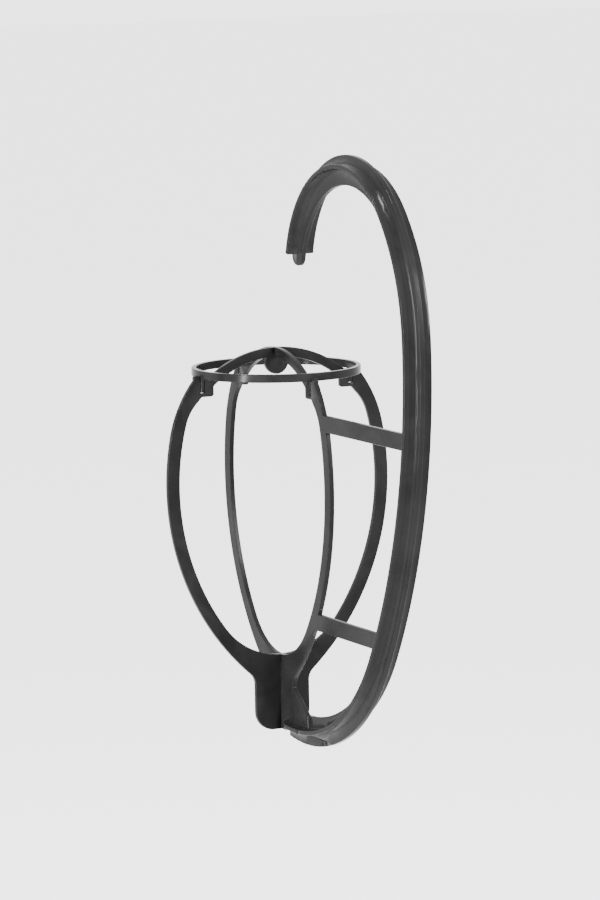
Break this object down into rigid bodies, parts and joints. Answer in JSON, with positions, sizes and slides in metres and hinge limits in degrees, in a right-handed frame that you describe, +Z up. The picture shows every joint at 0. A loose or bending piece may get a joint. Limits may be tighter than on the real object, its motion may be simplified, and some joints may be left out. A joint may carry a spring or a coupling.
{
  "type": "hanging wig stand",
  "caption": "Hanging wig stand in glossy black plastic: a large cruciform-section hook carries an openwork egg-shaped cage of slotted frames, topped by a snap-in ring.",
  "frame": {"origin": "the point under the crown of the hook that rests on a rail, on the part's plane of symmetry", "axes": "+Z up, +X from the cage towards the hook's spine, +Y across the hook; the hook and the main frame lie in the XZ plane"},
  "size_m": [0.3006, 0.1672, 0.4061],
  "materials": {
    "black_plastic": "glossy injection-moulded black",
    "black_ring": "glossy injection-moulded black"
  },
  "bodies": {
    "hook": {"hook": "black_plastic"},
    "cage": {"main_frame": "black_plastic", "cross_frame": "black_plastic"},
    "ring": {"top_ring": "black_ring"}
  },
  "joints": [
    {"name": "cage_unplug", "type": "slide", "parent": "hook", "child": "cage", "axis": [-1, 0, 0], "range_m": [0, 0.032]},
    {"name": "ring_lift", "type": "slide", "parent": "cage", "child": "ring", "axis": [0, 0, 1], "range_m": [0, 0.03]}
  ]
}
